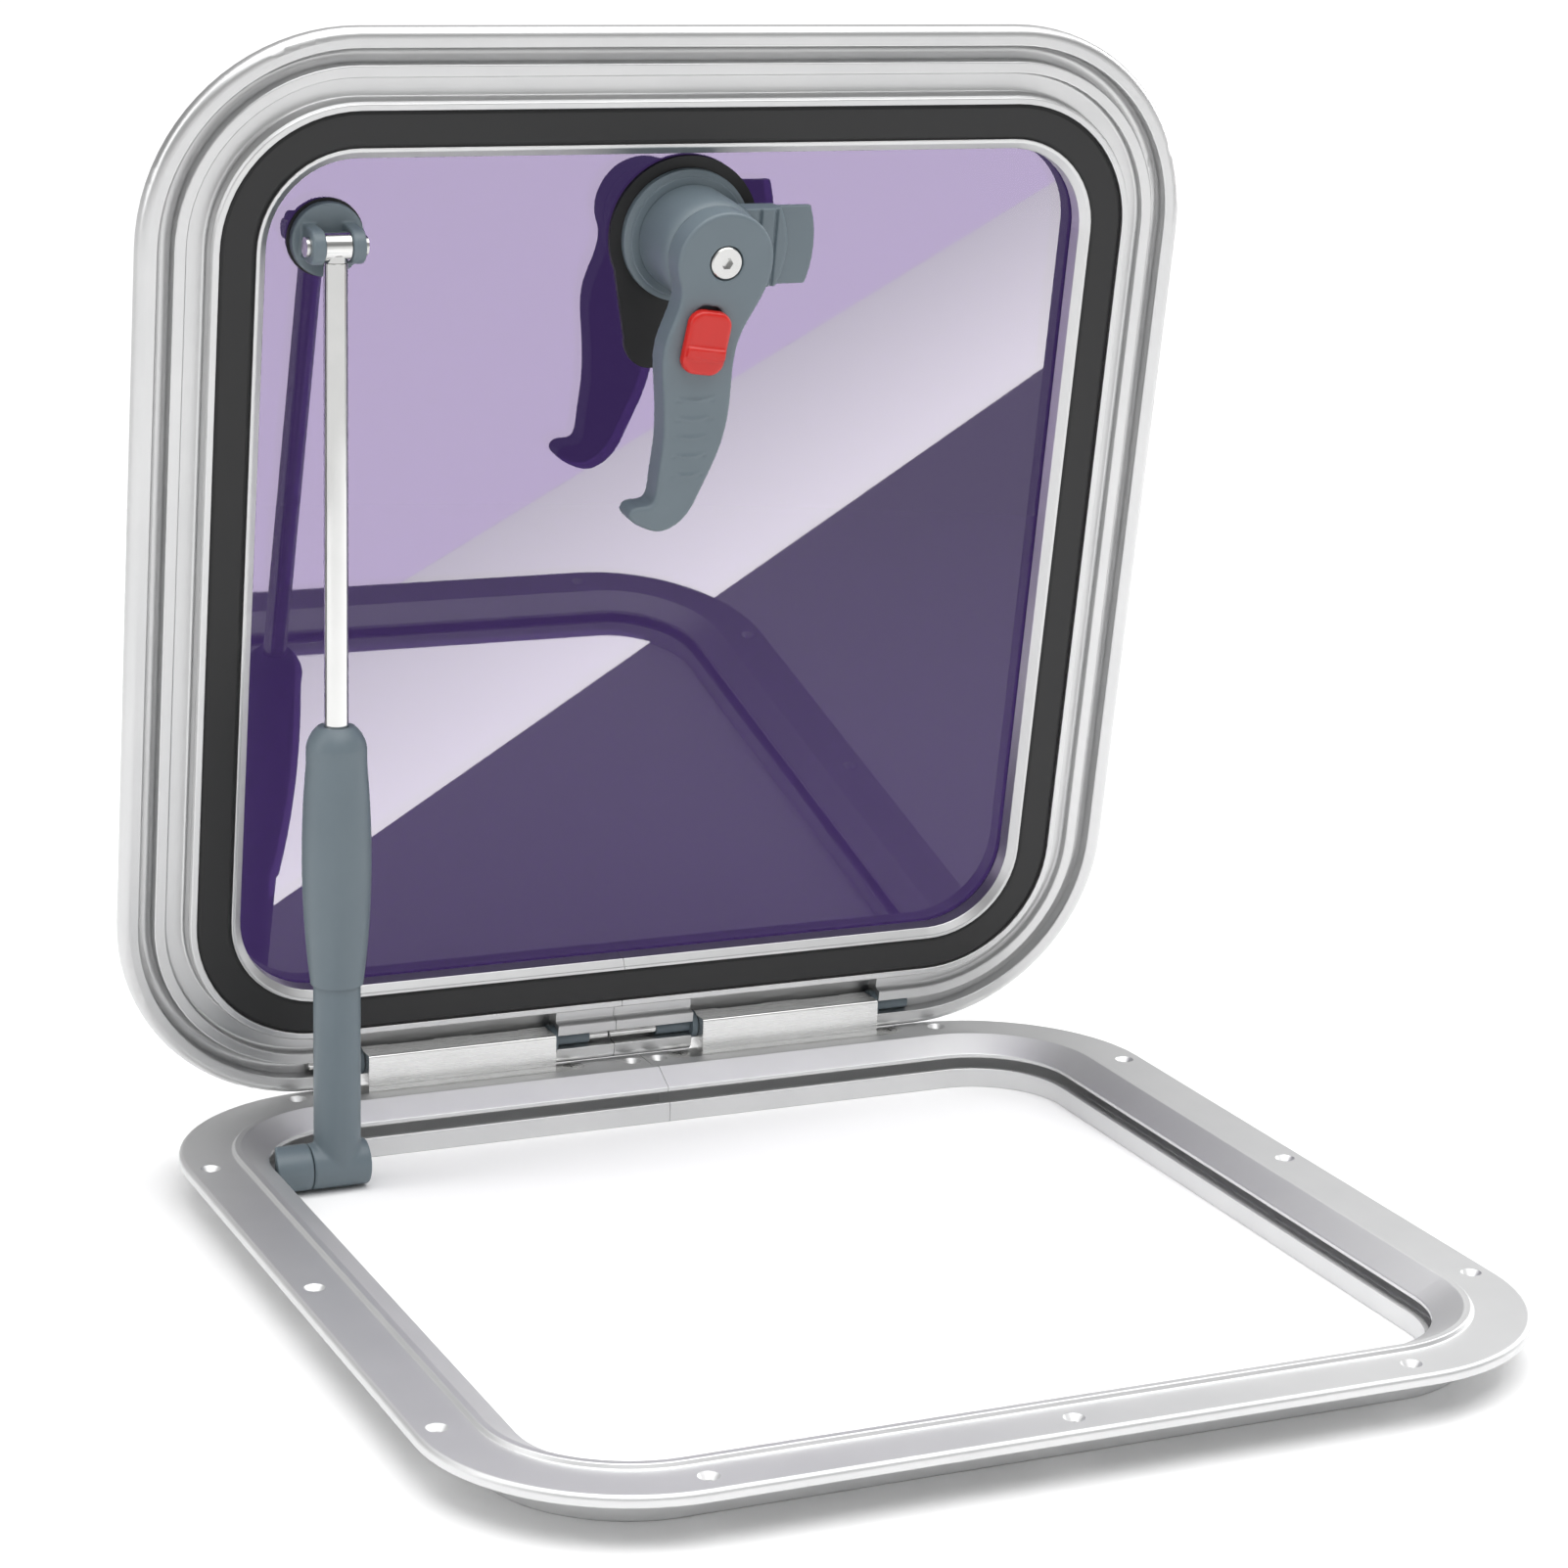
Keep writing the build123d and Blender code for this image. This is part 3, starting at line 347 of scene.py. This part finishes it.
# ---- lid gasket, sealant ----
# Soft black rubber, matt, with a slightly dusty bloom.
def rubber(name, low, high):
    """Black rubber with fine pores, its roughness between two values."""
    made, tree, shader = shader_of(name)
    place = tree.nodes.new("ShaderNodeTexCoord").outputs["Object"]
    bloom = noise(tree, place, 70.0, 5.0)
    pores = noise(tree, place, 3000.0, 2.0)
    tinted(tree, bloom, shader, (0.006, 0.006, 0.006), (0.014, 0.014, 0.015))
    tree.links.new(spread(tree, bloom, low, high), shader.inputs["Roughness"])
    bump(tree, pores, shader, 0.35, 0.00006)
    return made


black = rubber("black_rubber", 0.45, 0.62)
for name in ("lid_gasket", "glass_sealant", "clevis_seal", "handle_seal"):
    dress(name, black)

# ---- glass pane ----
# Toughened glass with a violet tint through its thickness. Two softboxes low in front, which
# light nothing else, are mirrored in it: a wide lilac one and a narrow white one beside it.
tint, tint_tree, tint_shader = shader_of("violet_glass")
tint_place = tint_tree.nodes.new("ShaderNodeTexCoord").outputs["Object"]
tint_cloud = noise(tint_tree, tint_place, 3.0, 2.0)
tinted(tint_tree, tint_cloud, tint_shader, (0.034, 0.018, 0.078), (0.038, 0.021, 0.086))
tint_shader.inputs["Transmission Weight"].default_value = 1.0
tint_shader.inputs["IOR"].default_value = 1.5
tint_ripple = noise(tint_tree, tint_place, 8.0, 1.0)
tint_tree.links.new(spread(tint_tree, tint_ripple, 0.0, 0.03), tint_shader.inputs["Roughness"])
dress("glass_pane", tint)

glass_only = bpy.data.collections.new("glass_only")
glass_only.objects.link(nodes["glass_pane"])


def softbox(name, low, high, start, end, colour, near, far):
    """A softbox lying on the floor and lighting only the glass, fading from near to far.

    It reaches from low to high across the floor and from start to end along it, in metres.
    """
    along = Vector((0.781, -0.6247, 0.0))
    across = Vector((-0.6247, -0.781, 0.0))
    lit = panel(name, (0, 0, 0), (0, 0, 1), end - start, high - low, 1.0)
    lit.rotation_quaternion = Matrix((along, across, (0, 0, -1))).transposed().to_quaternion()
    lit.location = along * (start + end) / 2 + across * (low + high) / 2 + Vector((0, 0, floor_low + 0.001))
    lit.light_linking.receiver_collection = glass_only
    lamp = lit.data
    lamp.energy = pi * (end - start) * (high - low)
    lamp.color = colour
    lamp.use_nodes = True
    tree = lamp.node_tree
    where = tree.nodes.new("ShaderNodeNewGeometry")
    parts = tree.nodes.new("ShaderNodeSeparateXYZ")
    tree.links.new(where.outputs["Parametric"], parts.inputs["Vector"])
    tree.links.new(spread(tree, parts.outputs["Y"], near, far), tree.nodes["Emission"].inputs["Strength"])


box_start = -0.6
box_end = 1.6
boxes_meet = 0.185
softbox("lilac_softbox", boxes_meet, 1.40, box_start, box_end, (0.88, 0.75, 1.0), 10.2, 10.2)
softbox("white_softbox", 0.031, boxes_meet, box_start, box_end, (1.0, 0.97, 0.98), 14.6, 9.4)

# ---- hinge pins and bushes ----
# Polished stainless pins in grey plastic bushes.
polished = drawn_metal("polished_steel", (0.74, 0.74, 0.73), 0.06, 0.16, (40.0, 1800.0, 1800.0))
dress("left_hinge_pin", polished)
dress("right_hinge_pin", polished)
dress("hinge_bushes", grey)

# ---- strut clevis ----
# Moulded fork with a short screw in each ear, its bolt and the cap outside the glass.
softened("moulded_clevis", "lid", grey, ["strut_clevis"], 0.0006, 8)
dress("clevis_screws", screw_steel)
dress("clevis_bolt", screw_steel)
dress("clevis_cap", grey)

# ---- handle ring, barrel and outside cap ----
# Turned and moulded rounds of blue-grey plastic: a stepped ring on the glass, the hub of the
# handle and the cap over the end of its spindle.
turn_joint = [joint for joint in frame["joints"] if joint["name"] == "handle_turn"][0]
handle_place = Matrix.Translation(Vector(turn_joint["pos_m"])) @ Matrix.Rotation(-open_turn, 4, "X")


def at_handle(x, y, height):
    """A point by its distances from the handle's axis and its height above the lid's rim."""
    return handle_place @ Vector((x, y, height))


def turned_round(name, body, made, used, outline):
    """A round piece about the handle's axis, from (radius, height) points."""
    form = bmesh.new()
    steps = 96
    rings = []
    for radius, height in outline:
        turns = [2 * pi * n / steps for n in range(steps)]
        rings.append([form.verts.new(at_handle(radius * cos(t), radius * sin(t), height)) for t in turns])
    for low, high in zip(rings, rings[1:]):
        for n in range(steps):
            form.faces.new((low[n], low[(n + 1) % steps], high[(n + 1) % steps], high[n]))
    form.faces.new(rings[0])
    form.faces.new(rings[-1])
    bmesh.ops.recalc_face_normals(form, faces=form.faces)
    mesh = bpy.data.meshes.new(name)
    form.to_mesh(mesh)
    form.free()
    for face in mesh.polygons:
        face.use_smooth = True
    mesh.materials.append(made)
    piece = bpy.data.objects.new(name, mesh)
    scene.collection.objects.link(piece)
    edge = piece.modifiers.new("edge", "BEVEL")
    edge.width = 0.0006
    edge.segments = 3
    edge.limit_method = "ANGLE"
    edge.angle_limit = radians(35)
    edge.harden_normals = True
    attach(piece, body)
    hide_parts(*used)
    return piece


turned_round("stepped_ring", "lid", grey, ["handle_ring"], [
    (0.0315, 0.0105),
    (0.0315, 0.0072),
    (0.0300, 0.0062),
    (0.0285, 0.0060),
    (0.0285, 0.0051),
    (0.0270, 0.0050),
])
turned_round("hub", "handle", grey, ["handle_barrel"], [
    (0.0250, 0.0047), (0.0250, -0.0200), (0.0246, -0.0235), (0.0236, -0.0262), (0.0228, -0.0270),
])
dress("outer_cap", grey)

# ---- latch tongue ----
# Solid tongue that swings under the lip of the base: a thick root with two grooves across it
# and a thin rounded nose.
def tongue_form(form):
    """Grooves are left between three low pads on the face of the root."""
    bmesh.ops.delete(form, geom=list(form.verts), context="VERTS")
    across = 40
    half_width = 0.0185
    tip_reach = 0.056
    root_reach = 0.0405
    start = 0.018
    root_face, groove_floor, root_back = -0.0172, -0.0158, -0.0060
    nose_face, nose_back = -0.0124, -0.0092
    rows = []
    for n in range(across + 1):
        side = half_width * (2 * n / across - 1)
        tip = (tip_reach ** 2 - side ** 2) ** 0.5
        root = (root_reach ** 2 - side ** 2) ** 0.5
        face = [(start, root_face)]
        for groove in (0.0255, 0.0335):
            face += [(groove - 0.0008, root_face), (groove - 0.0006, groove_floor)]
            face += [(groove + 0.0006, groove_floor), (groove + 0.0008, root_face)]
        face += [(root - 0.0012, root_face), (root, -0.0160), (root + 0.0006, nose_face)]
        face += [(tip - 0.0012, nose_face), (tip, -0.0116)]
        back = [(tip, -0.0100), (tip - 0.0012, nose_back), (root + 0.0004, nose_back)]
        back += [(root - 0.0006, root_back), (start, root_back)]
        rows.append([form.verts.new(at_handle(x, side, height)) for x, height in face + back])
    count = len(rows[0])
    for low, high in zip(rows, rows[1:]):
        for n in range(count):
            form.faces.new((low[n], low[(n + 1) % count], high[(n + 1) % count], high[n]))
    form.faces.new(rows[0])
    form.faces.new(rows[-1])
    bmesh.ops.recalc_face_normals(form, faces=form.faces)


softened("grooved_tongue", "handle", grey, ["latch_tongue"], 0.0005, 5, tongue_form)

# ---- handle lever ----
# Moulded lever with a round head over the hub, a waist, five low finger ribs and a hooked end.
def lever_form(form):
    """Five curved ribs stand a little above the face of the arm."""
    sunk, face = -0.0400, -0.0410
    for n in range(5):
        middle_x = -0.0100 - 0.0004 * n
        middle_y = 0.064 + 0.009 * n
        half = 0.0088 - 0.0005 * n
        rows = []
        for step in range(13):
            t = 2 * step / 12 - 1
            x = middle_x + t * half
            y = middle_y - 0.0014 * t * t
            thick = 0.0009 * (1 - 0.7 * t * t)
            rise = 0.0011 * (1 - 0.6 * t * t)
            ridge = ((-thick, sunk), (-thick, face), (0, face - rise), (thick, face), (thick, sunk))
            rows.append([form.verts.new(at_handle(x, y + dy, height)) for dy, height in ridge])
        for low, high in zip(rows, rows[1:]):
            for k in range(5):
                form.faces.new((low[k], low[(k + 1) % 5], high[(k + 1) % 5], high[k]))
        form.faces.new(rows[0])
        form.faces.new(rows[-1])
    bmesh.ops.recalc_face_normals(form, faces=form.faces)


softened("moulded_lever", "handle", grey, ["handle_lever"], 0.0006, 12, lever_form)
dress("handle_spindle", screw_steel)
dress("lever_screw", screw_steel)

# ---- lock button ----
# Glossy red slide with a thumb ridge across it.
red = moulded("red_plastic", (0.50, 0.010, 0.006), (0.60, 0.014, 0.008), 0.24, 0.36)


def button_form(form):
    """A thumb ridge stands across the lower half of the slide."""
    tilt = Matrix.Rotation(radians(8.0), 4, "Z")
    middle_x, middle_y = -0.0085, 0.0360
    half_width = 0.0095
    ridge = ((0.0005, -0.0440), (0.0025, -0.0478), (0.0065, -0.0478), (0.0100, -0.0440))
    rows = []
    for step in range(9):
        x = half_width * (step / 4 - 1)
        rows.append([])
        for y, height in ridge:
            spot = tilt @ Vector((x, y, 0))
            rows[-1].append(form.verts.new(at_handle(spot.x + middle_x, spot.y + middle_y, height)))
    for low, high in zip(rows, rows[1:]):
        for k in range(4):
            form.faces.new((low[k], low[(k + 1) % 4], high[(k + 1) % 4], high[k]))
    form.faces.new(rows[0])
    form.faces.new(rows[-1])
    bmesh.ops.recalc_face_normals(form, faces=form.faces)


softened("slide_button", "lock", red, ["lock_button"], 0.0005, 10, button_form)

# ---- strut ----
# Moulded lower tube with its cross barrel, a round twist grip with a domed cap, and a bright
# stainless rod.
softened("moulded_tube", "strut_tube", grey, ["strut_tube"], 0.0007, 6)
dress("strut_collet", grey)
dress("strut_grip", grey)
dress("grip_cap", grey)
dress("rod_piston", grey)
rod_steel = drawn_metal("rod_steel", (0.74, 0.74, 0.73), 0.05, 0.13, (1800.0, 1800.0, 20.0))
dress("strut_rod", rod_steel)
dress("rod_eye", rod_steel)
